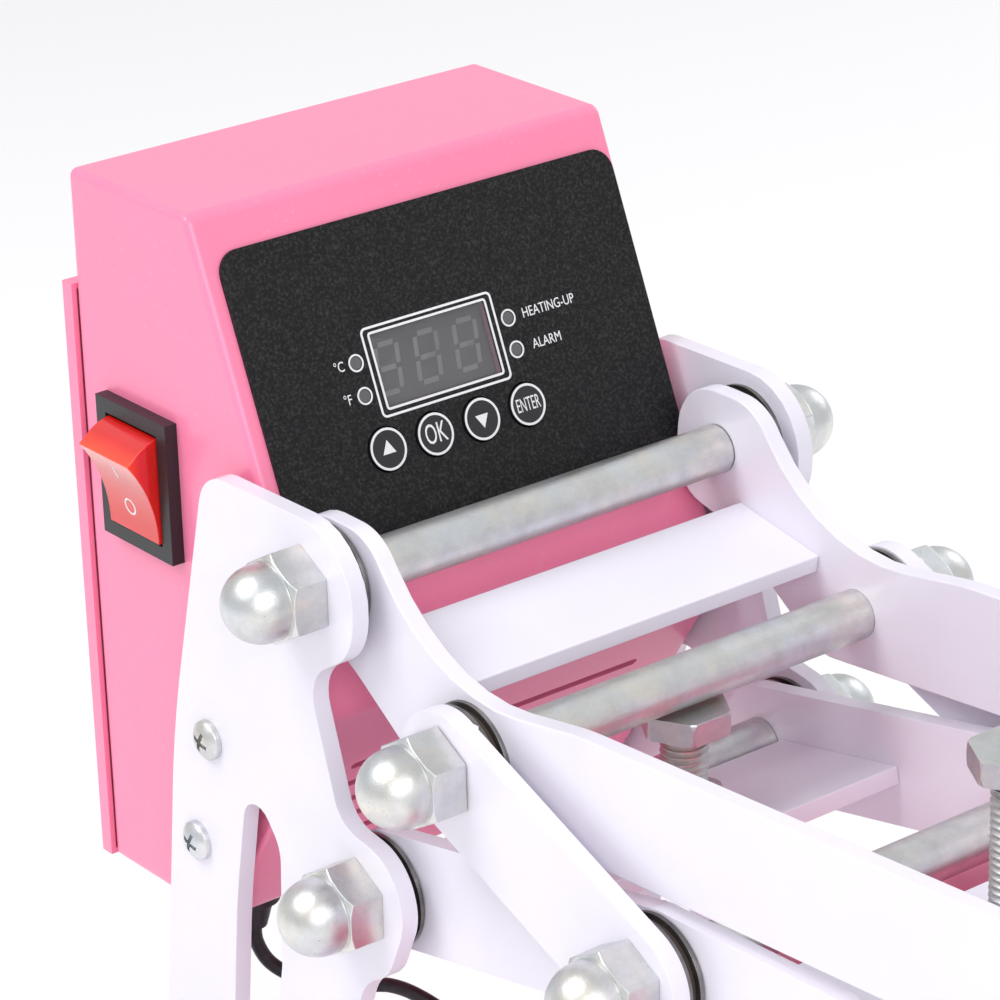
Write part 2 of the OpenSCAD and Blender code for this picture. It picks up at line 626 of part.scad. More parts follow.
control_box_shell();
back_cover();
back_cover_screws();
power_inlet();
front_panel();
display_window();
display_digits();
indicator_lamps();
control_board();
relay_module();
up_button();
ok_button();
down_button();
enter_button();
switch_bezel();
switch_rocker();
side_plate_left();
side_plate_right();
side_screws();
side_spacers();
upper_pivot_rod();
lower_pivot_rod();
pivot_cap_nuts();
pivot_races();
pivot_cages();
handle_arm_left();
handle_arm_right();
handle_cross_plate();
link_rod();
link_rod_cap_nuts();
link_rod_races();
link_rod_cages();
handle_bar();
handle_grip();
handle_screws();
toggle_link_left();
toggle_link_right();
link_end_studs();
link_end_cap_nuts();
link_end_races();
link_end_cages();
pressure_arm_left();
pressure_arm_right();
pressure_cross_plate();
jaw_cross_plate();
carrier_rod();
stop_bolt();
lock_nuts();
upper_jaw_cover();
upper_jaw_block();
pressure_pad();
pressure_bolt();
lower_jaw_cover();
heating_mat();
base_plate();
base_screws();
rubber_feet();
lead_glands();
heater_lead();
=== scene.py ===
"""Looks of the mug heat press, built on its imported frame.

The CAD nodes get eased edges, threads, a printed panel and finishes.
"""

import json
import math

import bpy
from bpy.props import FloatProperty, FloatVectorProperty
from mathutils import Matrix, Vector


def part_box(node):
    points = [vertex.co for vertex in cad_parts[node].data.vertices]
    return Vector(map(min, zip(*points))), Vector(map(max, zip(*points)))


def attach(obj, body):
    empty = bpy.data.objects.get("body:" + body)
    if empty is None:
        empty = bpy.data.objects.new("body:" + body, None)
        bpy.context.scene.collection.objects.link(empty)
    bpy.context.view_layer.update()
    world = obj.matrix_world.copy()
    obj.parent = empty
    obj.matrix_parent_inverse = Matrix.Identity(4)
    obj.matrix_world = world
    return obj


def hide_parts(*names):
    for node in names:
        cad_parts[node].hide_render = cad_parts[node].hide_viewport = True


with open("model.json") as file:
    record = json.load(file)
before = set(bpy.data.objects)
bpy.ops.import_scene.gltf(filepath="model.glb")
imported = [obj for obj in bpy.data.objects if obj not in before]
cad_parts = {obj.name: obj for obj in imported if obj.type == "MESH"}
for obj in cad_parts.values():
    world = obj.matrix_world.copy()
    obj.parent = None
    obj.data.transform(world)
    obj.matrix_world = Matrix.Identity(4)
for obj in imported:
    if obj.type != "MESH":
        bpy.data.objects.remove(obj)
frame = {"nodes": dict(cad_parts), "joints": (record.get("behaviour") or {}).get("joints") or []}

bl_info = {
    "name": "Mug Heat Press",
    "version": (1, 0, 0),
    "blender": (4, 5, 0),
    "location": "View3D > Sidebar > Press",
    "description": "Dresses the heat press: powder coat, zinc plate, printed panel and threads",
    "category": "Object",
}

MM = 0.001
BOLT_HEAD = 5.0 * MM
WELD = 2e-6  # corners nearer than this are one
JOIN = 1e-6  # the same, for what is modelled here
LEVEL = 0.02 * MM  # corners within this of the outermost one lie on the same face
SINK = 0.02 * MM  # how far a print starts below its face, so that no gap shows
FLAT = math.radians(0.6)  # faces that bend less than this are one flat face
SIDEWAYS = 0.999  # least share of X in the normal of a plate's flat side
CAP_HEIGHT = 0.7  # a capital's height as a share of the type's size
THREAD_DEPTH, FLANK, CREST = 0.56, 0.40, 0.12  # the thread's profile, as shares of its pitch
BLUE_CAST, STRAW_CAST = (0.95, 1.0, 1.05), (1.07, 1.03, 0.93)
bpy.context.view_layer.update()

WHITE_PLATES = {
    "frame": ["side_plate_left", "side_plate_right"],
    "handle": ["handle_arm_left", "handle_arm_right", "handle_cross_plate"],
    "links": ["toggle_link_left", "toggle_link_right"],
    "pressure_arms": [
        "pressure_arm_left", "pressure_arm_right", "pressure_cross_plate", "jaw_cross_plate",
    ],
}
CAP_NUTS = {
    "pivot_cap_nuts": "frame", "link_rod_cap_nuts": "handle", "link_end_cap_nuts": "links",
}
RODS = {
    "upper_pivot_rod": "frame", "lower_pivot_rod": "frame", "link_rod": "handle",
    "carrier_rod": "pressure_arms", "link_end_studs": "links", "side_spacers": "frame",
}
FASTENERS = {
    "side_screws": "frame", "back_cover_screws": "frame", "base_screws": "frame",
    "handle_screws": "handle", "lock_nuts": "pressure_arms",
}
RACES = {"pivot_races": "frame", "link_rod_races": "handle", "link_end_races": "links"}
CAGES = {"pivot_cages": "frame", "link_rod_cages": "handle", "link_end_cages": "links"}
KEYS = {
    "up_button": "key_up", "ok_button": "key_ok", "down_button": "key_down",
    "enter_button": "key_enter",
}

# The heater lead's route, in millimetres from the control box's rear lower edge
LEAD_ROUTE = [
    (-40.5, -34, -9), (-40.5, -34.5, -13), (-39, -36.5, -17.5), (-36, -40, -20.5),
    (-32, -45.5, -22), (-27.5, -52, -21.5), (-23, -59, -20), (-20.5, -68, -20.5),
    (-17, -79, -25), (-12, -92, -34), (-7, -106, -43.5), (-3, -120, -51), (-1, -133, -56),
    (0, -143, -58), (0, -152, -58),
]
BOX_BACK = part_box("back_cover")[1][1] - 3.5 * MM
BOX_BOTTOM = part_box("control_box_shell")[0][2]


# ---------------------------------------------------------------- finishes


class Value:
    """A node's output that can be used in sums, with the Math nodes added as needed."""

    def __init__(self, finish, socket):
        self.finish = finish
        self.socket = socket

    def maths(self, operation, *others):
        inputs = {i: other for i, other in enumerate((self, *others))}
        return self.finish.node("ShaderNodeMath", {"operation": operation}, inputs)

    def __add__(self, other):
        return self.maths("ADD", other)

    def __radd__(self, other):
        return self + other

    def __sub__(self, other):
        return self.maths("SUBTRACT", other)

    def __rsub__(self, other):
        return (self * -1.0) + other

    def __mul__(self, other):
        return self.maths("MULTIPLY", other)

    def __rmul__(self, other):
        return self * other

    def between(self, low, high):
        """0 at low, 1 at high, straight in between."""
        settings = {"clamp": True}
        inputs = {"Value": self, "From Min": low, "From Max": high}
        return self.finish.node("ShaderNodeMapRange", settings, inputs)


class Finish:
    """A material on object coordinates, with one method that adds any node."""

    def __init__(self, name):
        self.material = bpy.data.materials.new(name)
        self.material.use_nodes = True
        self.tree = self.material.node_tree
        self.tree.nodes.clear()
        self.place = self.node("ShaderNodeTexCoord", output="Object")

    def node(self, kind, settings=None, inputs=None, output=0):
        node = self.tree.nodes.new(kind)
        for key, setting in (settings or {}).items():
            setattr(node, key, setting)
        for key, given in (inputs or {}).items():
            socket = self.find(node.inputs, key)
            if isinstance(given, Value):
                self.tree.links.new(given.socket, socket)
            else:
                socket.default_value = given
        return Value(self, self.find(node.outputs, output)) if node.outputs else None

    @staticmethod
    def find(sockets, key):
        """A socket by its number, its identifier or its name."""
        if isinstance(key, int):
            return sockets[key]
        same = [s for s in sockets if s.identifier == key]
        return same[0] if same else sockets[key]

    def grain(self, scale, detail=2.0, roughness=0.5, stretch=(1, 1, 1)):
        """Noise from 0 to 1; scale counts its grains in a metre."""
        place = self.node("ShaderNodeMapping", {}, {"Vector": self.place, "Scale": stretch})
        inputs = {"Vector": place, "Scale": scale, "Detail": detail, "Roughness": roughness}
        return self.node("ShaderNodeTexNoise", {}, inputs)

    def mix(self, factor, a, b):
        """Colour a where the factor is 0, colour b where it is 1."""
        inputs = {"Factor_Float": factor, "A_Color": a, "B_Color": b}
        return self.node("ShaderNodeMix", {"data_type": "RGBA"}, inputs, "Result_Color")

    def relief(self, height, distance, strength):
        """The normal of a surface with this height, distance deep where the height is 1."""
        inputs = {"Height": height, "Distance": distance, "Strength": strength}
        return self.node("ShaderNodeBump", {}, inputs)

    def coat(self, **sockets):
        """The Principled surface; names are its sockets with underscores for spaces."""
        inputs = {key.replace("_", " "): given for key, given in sockets.items()}
        shader = self.node("ShaderNodeBsdfPrincipled", {}, inputs)
        self.node("ShaderNodeOutputMaterial", {}, {"Surface": shader})
        return self.material


def rgba(colour):
    return (*tuple(colour)[:3], 1.0)


def shade(colour, factor):
    return rgba([min(1.0, c * factor) for c in tuple(colour)[:3]])


def powder_coat(name, colour, roughness, peel=0.5):
    """Sprayed and baked coating: a faint orange peel, softly uneven gloss and a little dust."""
    f = Finish(name)
    cloud = f.grain(35, 3).between(0.35, 0.65)
    dust = f.grain(900, 1).between(0.66, 0.8)
    tint = f.mix(cloud, shade(colour, 0.965), rgba(colour))
    tint = f.mix(dust * 0.10, tint, rgba((0.9, 0.88, 0.88)))
    gloss = roughness + cloud * 0.05 + f.grain(260, 2) * 0.05 + dust * 0.1
    skin = f.grain(1100, 2, 0.4) + f.grain(3600, 1) * 0.25
    return f.coat(
        Base_Color=tint, Roughness=gloss, Coat_Weight=0.35, Coat_Roughness=0.12,
        Normal=f.relief(skin, 0.00008 * peel, 0.35),
    )


def zinc_plate(name, colour, brushed=(1, 1, 1), roughness=0.24):
    """Bright zinc: a blue and straw cast, cloudy dull patches, fine drawing lines, small pits."""
    f = Finish(name)
    cloud = f.grain(170, 4, 0.6).between(0.33, 0.66)
    cast = f.grain(75, 3, 0.6).between(0.38, 0.62)
    lines = f.grain(2600, 3, 0.65, brushed)
    pits = f.grain(1500, 2).between(0.70, 0.80)
    bright = 0.98 * colour[0]
    tint = f.mix(cast, shade(BLUE_CAST, bright), shade(STRAW_CAST, bright))
    tint = f.mix((cloud * 0.6 + lines * 0.4).between(0.25, 0.85), tint, shade(colour, 0.8))
    tint = f.mix(pits * 0.7, tint, shade(colour, 0.45))
    gloss = roughness + cloud * 0.10 + lines * 0.14
    height = lines * 0.7 + cloud * 0.5 - pits
    return f.coat(
        Base_Color=tint, Metallic=1.0, Roughness=gloss, Normal=f.relief(height, 0.00012, 0.6)
    )


def ground_steel(name, colour):
    """Turned bearing races: fine rings round the bore's line, patches of dark oil."""
    f = Finish(name)
    rings = f.grain(1800, 2, 0.5, (4, 1, 1))
    smear = f.grain(220, 3).between(0.35, 0.7)
    tint = f.mix(smear, rgba(colour), shade(colour, 0.55))
    return f.coat(
        Base_Color=tint, Metallic=1.0, Roughness=0.2 + rings * 0.15 + smear * 0.15,
        Normal=f.relief(rings, 0.00003, 0.4),
    )


def moulded(name, colour, roughness, texture=1.0, scale=2600, coat=0.0):
    """Moulded plastic or rubber with a spark-eroded texture and faint flow marks."""
    f = Finish(name)
    skin = f.grain(scale, 2, 0.6)
    flow = f.grain(60, 3).between(0.3, 0.7)
    tint = f.mix(flow, shade(colour, 0.85), shade(colour, 1.15))
    return f.coat(
        Base_Color=tint, Roughness=roughness + flow * 0.06 + skin * 0.06, Coat_Weight=coat,
        Coat_Roughness=0.06, Normal=f.relief(skin, 0.00008 * texture, 0.5),
    )


def panel_film(name, colour):
    """Screen-printed polyester: black with a fine pale fleck and an even grain."""
    f = Finish(name)
    fleck = f.grain(1500, 3, 0.75).between(0.47, 0.72)
    grain = f.grain(2400, 2)
    scuff = f.grain(50, 4).between(0.4, 0.7)
    tint = f.mix(fleck, rgba(colour), rgba((0.045, 0.044, 0.045)))
    return f.coat(
        Base_Color=tint, Roughness=0.42 + scuff * 0.07 + fleck * 0.1, Specular_IOR_Level=0.22,
        Normal=f.relief(grain, 0.00012, 0.4),
    )


def clear_red(name, colour):
    """Translucent rocker: deep red in the body, orange where it is thin and lit, a painted glow of
    light shining through its outer part.
    """
    f = Finish(name)
    corner = f.node("ShaderNodeSeparateXYZ", {}, {"Vector": f.place}, "X")
    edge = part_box("switch_rocker")[0][0]
    # thin is the outermost 3.2 mm of the rocker, where a painted orange glow of light shining
    # through is mixed in
    thin = corner.between(edge + 3.2 * MM, edge)
    cloud = f.grain(160, 2).between(0.3, 0.7)
    tint = f.mix(thin * 0.75, shade(colour, 0.85), rgba((0.95, 0.10, 0.03)))
    tint = f.mix(cloud * 0.15, tint, rgba((0.45, 0.0, 0.0)))
    return f.coat(
        Base_Color=tint, Roughness=0.10 + cloud * 0.04, Coat_Weight=0.6, Coat_Roughness=0.04,
        Subsurface_Weight=0.35, Subsurface_Radius=(0.004, 0.0006, 0.0004), Subsurface_Scale=1.0,
    )


def printed_ink(name, colour):
    """Screen ink, thinner and so darker in places."""
    f = Finish(name)
    thin = f.grain(1500, 2).between(0.3, 0.8)
    return f.coat(Base_Color=f.mix(thin * 0.25, rgba(colour), shade(colour, 0.6)), Roughness=0.5)


def smoked_window(name, colour):
    """Half clear grey film with faint wipe marks."""
    f = Finish(name)
    wipe = f.grain(90, 3).between(0.35, 0.7)
    return f.coat(
        Base_Color=rgba(colour), Roughness=0.28 + wipe * 0.08, Alpha=0.36 + wipe * 0.04,
        Coat_Weight=0.2,
    )


def unlit_segments(name, colour):
    """Display block: grey epoxy, and in a paler shade its figures."""
    f = Finish(name)
    grain = f.grain(2000, 2).between(0.3, 0.7)
    return f.coat(Base_Color=f.mix(grain, shade(colour, 0.9), rgba(colour)), Roughness=0.55)


def lead_rubber(name, colour):
    """Sleeve of the lead: smooth rubber, dusty in places."""
    f = Finish(name)
    dust = f.grain(300, 4, 0.6).between(0.5, 0.8)
    skin = f.grain(2500, 2)
    return f.coat(
        Base_Color=f.mix(dust * 0.2, rgba(colour), rgba((0.16, 0.15, 0.15))),
        Roughness=0.42 + dust * 0.2, Normal=f.relief(skin, 0.0001, 0.4),
    )


# ---------------------------------------------------------------- modelling


def only(*objects):
    """Leaves object mode with just these objects selected, the first one active."""
    if bpy.context.object and bpy.context.object.mode != "OBJECT":
        bpy.ops.object.mode_set(mode="OBJECT")
    bpy.ops.object.select_all(action="DESELECT")
    for one in objects:
        one.select_set(True)
    bpy.context.view_layer.objects.active = objects[0] if objects else None


def copy_of(node, name, seam=None):
    """A welded copy of a CAD node with its flat faces whole again, or halved at a plane."""
    piece = frame["nodes"][node].copy()
    piece.data = piece.data.copy()
    piece.name = name
    piece.parent = None
    piece.matrix_world = Matrix.Identity(4)
    piece.data.materials.clear()
    bpy.context.scene.collection.objects.link(piece)
    only(piece)
    if piece.data.has_custom_normals:
        bpy.ops.mesh.customdata_custom_splitnormals_clear()
    bpy.ops.object.mode_set(mode="EDIT")
    bpy.ops.mesh.select_all(action="SELECT")
    bpy.ops.mesh.remove_doubles(threshold=WELD)
    if seam:
        halve_sides(piece, *seam)
    bpy.ops.mesh.dissolve_limited(angle_limit=FLAT, delimit={"NORMAL"})
    bpy.ops.object.mode_set(mode="OBJECT")
    return piece


def pick_edges(piece, wanted):
    """Selects the edges whose ends wanted(a, b) accepts, in edit mode."""
    mesh = piece.data
    only(piece)
    bpy.ops.object.mode_set(mode="EDIT")
    bpy.context.tool_settings.mesh_select_mode = (False, True, False)
    bpy.ops.mesh.select_all(action="DESELECT")
    bpy.ops.object.mode_set(mode="OBJECT")
    for edge in mesh.edges:
        edge.select = wanted(*(mesh.vertices[i].co for i in edge.vertices))
    if not any(edge.select for edge in mesh.edges):
        raise RuntimeError(f"no edge to shape on {piece.name}")
    bpy.ops.object.mode_set(mode="EDIT")


def select_faces(piece, wanted):
    """Selects the faces that wanted(face) accepts, in edit mode."""
    bpy.context.tool_settings.mesh_select_mode = (False, False, True)
    bpy.ops.mesh.select_all(action="DESELECT")
    bpy.ops.object.mode_set(mode="OBJECT")
    for face in piece.data.polygons:
        face.select = wanted(face)
    bpy.ops.object.mode_set(mode="EDIT")


def halve_sides(piece, point, normal):
    """Makes each flat side of a plate into two faces that meet at a plane through its bores."""
    bpy.ops.mesh.bisect(plane_co=point, plane_no=normal)
    for half in (-1, 1):
        select_faces(
            piece,
            lambda face: abs(face.normal.x) > SIDEWAYS
            and half * (face.center - point).dot(normal) > 0,
        )
        bpy.ops.mesh.dissolve_faces()
    # Only the rim and the bores stay selected, so the halves aren't joined again
    select_faces(piece, lambda face: abs(face.normal.x) < 0.5)


def ease(piece, width, segments=2, angle=35):
    """Breaks every sharp edge by width."""
    only(piece)
    bevel = piece.modifiers.new("eased", "BEVEL")
    bevel.width = width
    bevel.segments = segments
    bevel.limit_method = "ANGLE"
    bevel.angle_limit = math.radians(angle)
    bevel.miter_outer = "MITER_ARC"
    bevel.use_clamp_overlap = True
    bevel.harden_normals = False
    bpy.ops.object.modifier_apply(modifier=bevel.name)


def smooth(piece, angle=30):
    only(piece)
    bpy.ops.object.shade_smooth_by_angle(angle=math.radians(angle))


def finish_piece(piece, body, material, replaced=(), angle=30):
    """Shades a piece, gives it its material and says what it rides on and what it replaces."""
    smooth(piece, angle)
    even = piece.modifiers.new("even", "WEIGHTED_NORMAL")
    even.weight = 100
    even.keep_sharp = True
    bpy.ops.object.modifier_apply(modifier=even.name)
    piece.data.materials.clear()
    piece.data.materials.append(material)
    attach(piece, body)
    if replaced:
        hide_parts(*replaced)
    return piece


def dress(node, body, material, width=0.0, segments=2, seam=None):
    """A finished copy of a CAD node with its sharp edges broken by width."""
    piece = copy_of(node, node + "_finished", seam)
    if width:
        ease(piece, width, segments)
    return finish_piece(piece, body, material, (node,))


def joined(pieces, name):
    only(*pieces)
    if len(pieces) > 1:
        bpy.ops.object.join()
    piece = bpy.context.object
    piece.name = name
    return piece


def settle(piece, place):
    """Moves a piece's mesh to its place; its object stays unturned at the origin."""
    only(piece)
    piece.matrix_world = place @ piece.matrix_world
    bpy.ops.object.transform_apply(location=True, rotation=True, scale=True)
    return piece


def raise_print(piece, thickness):
    """Gives a flat printed shape its thickness of ink."""
    only(piece)
    bpy.ops.object.mode_set(mode="EDIT")
    bpy.ops.mesh.select_all(action="SELECT")
    bpy.ops.mesh.extrude_region_move(TRANSFORM_OT_translate={"value": (0, 0, thickness)})
    bpy.ops.mesh.select_all(action="SELECT")
    bpy.ops.mesh.normals_make_consistent(inside=False)
    bpy.ops.object.mode_set(mode="OBJECT")
    return piece


def drop_middle(piece, line):
    """Leaves only a rim of this width from a flat shape of one face."""
    only(piece)
    bpy.ops.object.mode_set(mode="EDIT")
    bpy.context.tool_settings.mesh_select_mode = (False, False, True)
    bpy.ops.mesh.select_all(action="SELECT")
    bpy.ops.mesh.inset(thickness=line, use_even_offset=True)
    bpy.ops.mesh.delete(type="FACE")
    bpy.ops.object.mode_set(mode="OBJECT")


def ring_print(radius, line, thickness, place, sides=64):
    """A printed ring; line is its width."""
    bpy.ops.object.select_all(action="DESELECT")
    bpy.ops.mesh.primitive_circle_add(vertices=sides, radius=radius, fill_type="NGON")
    piece = bpy.context.object
    drop_middle(piece, line)
    return settle(raise_print(piece, thickness), place)


def arrow_print(radius, thickness, place, turn):
    """A filled triangle that points up, or down after half a turn."""
    bpy.ops.object.select_all(action="DESELECT")
    bpy.ops.mesh.primitive_circle_add(vertices=3, radius=radius, fill_type="NGON")
    piece = raise_print(bpy.context.object, thickness)
    return settle(piece, place @ Matrix.Rotation(turn, 4, "Z"))


def frame_print(width, height, corner, line, thickness, place):
    """Outline of a window with rounded corners."""
    bpy.ops.object.select_all(action="DESELECT")
    bpy.ops.mesh.primitive_plane_add(size=1)
    piece = bpy.context.object
    piece.scale = (width, height, 1)
    bpy.ops.object.transform_apply(scale=True)
    bpy.ops.object.mode_set(mode="EDIT")
    bpy.ops.mesh.select_all(action="SELECT")
    bpy.ops.mesh.bevel(offset=corner, segments=6, affect="VERTICES")
    bpy.ops.object.mode_set(mode="OBJECT")
    drop_middle(piece, line)
    return settle(raise_print(piece, thickness), place)


def word_print(word, height, thickness, place, narrow, align="CENTER"):
    """A word in the plain built-in type, drawn narrow."""
    bpy.ops.object.select_all(action="DESELECT")
    bpy.ops.object.text_add()
    piece = bpy.context.object
    piece.data.body = word
    piece.data.align_x = align
    piece.data.align_y = "CENTER"
    piece.data.resolution_u = 3
    piece.data.size = height / CAP_HEIGHT
    bpy.ops.object.convert(target="MESH")
    piece = bpy.context.object
    piece.scale = (narrow, 1, 1)
    bpy.ops.object.transform_apply(scale=True)
    bpy.ops.object.mode_set(mode="EDIT")
    bpy.ops.mesh.select_all(action="SELECT")
    bpy.ops.mesh.remove_doubles(threshold=JOIN)
    bpy.ops.object.mode_set(mode="OBJECT")
    return settle(raise_print(piece, thickness), place)


def joint_line(name):
    """A joint's point and unit axis."""
    joint = next(j for j in frame["joints"] if j["name"] == name)
    return Vector(joint["pos_m"]), Vector(joint["axis"]).normalized()


def main_normal(node, towards):
    """The normal of the broadest side of a node that faces roughly this way."""
    sums = {}
    for face in frame["nodes"][node].data.polygons:
        if face.normal.dot(towards) > 0.3:
            key = tuple(round(c, 2) for c in face.normal)
            normal, area = sums.get(key, (face.normal.copy(), 0.0))
            sums[key] = (normal, area + face.area)
    if not sums:
        raise RuntimeError(f"{node} has no side that faces {towards}")
    return max(sums.values(), key=lambda pair: pair[1])[0]


def face_place(node, normal, lift=0.0):
    """A frame on the outermost face of a node: X across, Y up the face, Z out of it."""
    corners = [v.co for v in frame["nodes"][node].data.vertices]
    reach = max(co.dot(normal) for co in corners)
    top = [co for co in corners if co.dot(normal) > reach - LEVEL]
    low = Vector(min(co[i] for co in top) for i in range(3))
    high = Vector(max(co[i] for co in top) for i in range(3))
    across = Vector((1, 0, 0)) if abs(normal.x) < 0.5 else Vector((0, -1, 0))
    across = (across - normal * across.dot(normal)).normalized()
    up = normal.cross(across)
    middle = (low + high) / 2
    middle += normal * (reach - middle.dot(normal) + lift)
    turn = Matrix((across, up, normal)).transposed().to_4x4()
    return Matrix.Translation(middle) @ turn


# ---------------------------------------------------------------- settings


class PressSizes(bpy.types.PropertyGroup):
    """Sizes of what is added to the frame."""

    fold_radius: FloatProperty(name="Fold radius", description="Outside radius of the folded sheet",
                               default=1.9 * MM, unit="LENGTH")
    plate_ease: FloatProperty(name="Plate edge", description="Softening of the cut plates' edges",
                              default=0.38 * MM, unit="LENGTH")
    hardware_ease: FloatProperty(name="Hardware edge", description="Softening of nuts and rods",
                                 default=0.25 * MM, unit="LENGTH")
    thread_pitch: FloatProperty(name="Thread pitch", description="Pitch of the bolts' thread",
                                default=1.5 * MM, unit="LENGTH")
    thread_radius: FloatProperty(name="Thread radius", description="Outside radius of the thread",
                                 default=4.98 * MM, unit="LENGTH")
    ink: FloatProperty(name="Ink", description="Thickness of the printed marks",
                       default=0.07 * MM, unit="LENGTH")
    line: FloatProperty(name="Printed line", description="Width of the printed rings and frames",
                        default=0.5 * MM, unit="LENGTH")
    lead_diameter: FloatProperty(name="Lead diameter", description="Diameter of the heater lead",
                                 default=3.2 * MM, unit="LENGTH")
    lens: FloatProperty(name="Lens", description="Focal length of the camera in millimetres",
                        default=149.1)
    floor: FloatProperty(name="Floor", description="Width of the floor", default=14.0,
                         unit="LENGTH")


def paint(name, text, default):
    return FloatVectorProperty(name=name, description=text, subtype="COLOR", size=3, min=0, max=1,
                               default=default)


class PressColours(bpy.types.PropertyGroup):
    """Colours of the finishes."""

    pink: paint("Pink", "Control box and jaw covers", (0.94, 0.235, 0.40))
    # White powder coat with a lavender cast, and the cast is painted shade: the tint of the shadows
    # and pink reflections on the plates
    white: paint("White", "Plates, arms, links and base", (0.79, 0.76, 0.85))
    zinc: paint("Zinc", "Rods, nuts and bolts", (0.74, 0.75, 0.745))
    steel: paint("Bearing steel", "Thrust bearing races", (0.30, 0.29, 0.28))
    film: paint("Panel film", "Printed front panel", (0.006, 0.006, 0.007))
    ink: paint("Ink", "Printed marks", (0.82, 0.82, 0.84))
    rocker: paint("Rocker", "Switch rocker", (0.80, 0.015, 0.012))
    black: paint("Black", "Moulded black parts", (0.012, 0.012, 0.014))
    silicone: paint("Silicone", "Heating mat and pressure pad", (0.36, 0.05, 0.035))
    floor: paint("Floor", "Floor under the press", (0.93, 0.93, 0.94))


def sizes():
    return bpy.context.scene.press_sizes


def colours():
    return bpy.context.scene.press_colours


# How each finish is made from the add-on's colours
MAKERS = {
    "pink": lambda c: powder_coat("pink_powder_coat", c.pink, 0.30),
    "white": lambda c: powder_coat("white_powder_coat", c.white, 0.33, 0.4),
    "zinc": lambda c: zinc_plate("zinc_plate", c.zinc),
    "zinc_rod": lambda c: zinc_plate("zinc_plated_rod", c.zinc, (0.08, 1, 1), 0.28),
    "steel": lambda c: ground_steel("ground_steel", c.steel),
    "cage": lambda c: moulded("bearing_cage", (0.05, 0.035, 0.03), 0.5),
    "film": lambda c: panel_film("panel_film", c.film),
    "ink": lambda c: printed_ink("printed_ink", c.ink),
    "rocker": lambda c: clear_red("clear_red", c.rocker),
    "black": lambda c: moulded("black_plastic", c.black, 0.38, 1.2, 2600, 0.1),
    "key": lambda c: moulded("key_film", c.black, 0.34, 0.8, 3000, 0.15),
    "grip": lambda c: moulded("grip_rubber", c.black, 0.62, 2.5, 1500),
    "foot": lambda c: moulded("foot_rubber", (0.015, 0.015, 0.015), 0.7, 2.0, 1800),
    "silicone": lambda c: moulded("silicone_mat", c.silicone, 0.5, 2.0, 900),
    "aluminium": lambda c: zinc_plate("cast_aluminium", (0.78, 0.78, 0.79), (1, 0.1, 1), 0.32),
    "window": lambda c: smoked_window("smoked_window", (0.20, 0.20, 0.205)),
    "digits": lambda c: unlit_segments("display_epoxy", (0.13, 0.13, 0.135)),
    "segments": lambda c: unlit_segments("unlit_segments", (0.55, 0.55, 0.56)),
    "lens": lambda c: moulded("lamp_lens", (0.10, 0.10, 0.105), 0.2, 0.3, 1500, 0.5),
    "board": lambda c: moulded("solder_mask", (0.02, 0.16, 0.06), 0.3, 0.6, 900, 0.3),
    "module": lambda c: moulded("module_case", (0.03, 0.03, 0.035), 0.5),
    "lead": lambda c: lead_rubber("lead_sleeve", (0.010, 0.010, 0.012)),
}
FINISHES = {}


def finish_named(name):
    """Each finish is made once and shared by the pieces that have it."""
    if name not in FINISHES:
        FINISHES[name] = MAKERS[name](colours())
    return FINISHES[name]


# ---------------------------------------------------------------- pieces


class PRESS_OT_heater_lead(bpy.types.Operator):
    """Lays the heater lead from the control box to the lower jaw"""

    bl_idname = "press.heater_lead"
    bl_label = "Heater lead"

    def execute(self, context):
        points = [
            Vector((x * MM, BOX_BACK + y * MM, BOX_BOTTOM + z * MM)) for x, y, z in LEAD_ROUTE
        ]
        bpy.ops.object.select_all(action="DESELECT")
        bpy.ops.curve.primitive_bezier_curve_add()
        lead = bpy.context.object
        lead.name = "heater_lead_sleeve"
        curve = lead.data
        curve.splines.clear()
        spline = curve.splines.new("BEZIER")
        spline.bezier_points.add(len(points) - 1)
        for i, (knot, point) in enumerate(zip(spline.bezier_points, points)):
            before = points[max(i - 1, 0)]
            after = points[min(i + 1, len(points) - 1)]
            third = (after - before) / 6
            knot.co = point
            knot.handle_left_type = knot.handle_right_type = "FREE"
            knot.handle_left = point - third
            knot.handle_right = point + third
        curve.bevel_depth = sizes().lead_diameter / 2
        curve.bevel_resolution = 5
        curve.resolution_u = 10
        curve.use_fill_caps = True
        curve.materials.append(finish_named("lead"))
        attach(lead, "frame")
        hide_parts("heater_lead")
        dress("lead_glands", "frame", finish_named("black"), 0.25 * MM)
        return {"FINISHED"}


